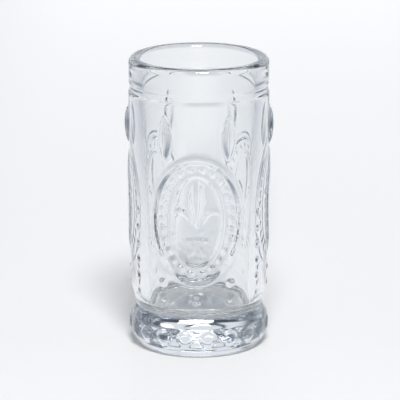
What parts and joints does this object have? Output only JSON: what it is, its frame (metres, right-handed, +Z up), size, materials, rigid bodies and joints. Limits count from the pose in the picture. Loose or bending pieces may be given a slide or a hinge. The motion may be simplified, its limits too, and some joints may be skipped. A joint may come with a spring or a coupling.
{
  "type": "highball glass",
  "caption": "Tall clear pressed-glass tumbler with a flared beaded foot; the wall carries beaded oval medallions with a fleur-de-lis, almond petals and hobnails.",
  "frame": {"origin": "middle of the foot, on the surface that the glass stands on", "axes": "+Z up along the glass's axis, from the foot to the drinking rim; -Y towards the front medallion; +X to the right of it"},
  "size_m": [0.0742, 0.0717, 0.1464],
  "materials": {
    "clear_glass": "fire-polished clear pressed glass with a faint cool tint"
  },
  "bodies": {
    "root": {"drinking_rim": "clear_glass", "barrel_wall": "clear_glass", "cup_floor": "clear_glass", "beaded_foot": "clear_glass", "medallion_frame_1": "clear_glass", "medallion_field_1": "clear_glass", "fleur_de_lis_1": "clear_glass", "petal_left_1": "clear_glass", "petal_right_1": "clear_glass", "hobnail_middle_1_1": "clear_glass", "hobnail_left_1_1": "clear_glass", "hobnail_left_1_2": "clear_glass", "hobnail_right_1_1": "clear_glass", "hobnail_right_1_2": "clear_glass", "hobnail_gap_1_1": "clear_glass", "hobnail_gap_1_2": "clear_glass", "hobnail_gap_1_3": "clear_glass", "hobnail_gap_1_4": "clear_glass", "hobnail_gap_1_5": "clear_glass", "hobnail_gap_1_6": "clear_glass", "medallion_frame_2": "clear_glass", "medallion_field_2": "clear_glass", "fleur_de_lis_2": "clear_glass", "petal_left_2": "clear_glass", "petal_right_2": "clear_glass", "hobnail_middle_2_1": "clear_glass", "hobnail_left_2_1": "clear_glass", "hobnail_left_2_2": "clear_glass", "hobnail_right_2_1": "clear_glass", "hobnail_right_2_2": "clear_glass", "hobnail_gap_2_1": "clear_glass", "hobnail_gap_2_2": "clear_glass", "hobnail_gap_2_3": "clear_glass", "hobnail_gap_2_4": "clear_glass", "hobnail_gap_2_5": "clear_glass", "hobnail_gap_2_6": "clear_glass", "medallion_frame_3": "clear_glass", "medallion_field_3": "clear_glass", "fleur_de_lis_3": "clear_glass", "petal_left_3": "clear_glass", "petal_right_3": "clear_glass", "hobnail_middle_3_1": "clear_glass", "hobnail_left_3_1": "clear_glass", "hobnail_left_3_2": "clear_glass", "hobnail_right_3_1": "clear_glass", "hobnail_right_3_2": "clear_glass", "hobnail_gap_3_1": "clear_glass", "hobnail_gap_3_2": "clear_glass", "hobnail_gap_3_3": "clear_glass", "hobnail_gap_3_4": "clear_glass", "hobnail_gap_3_5": "clear_glass", "hobnail_gap_3_6": "clear_glass"}
  },
  "joints": []
}
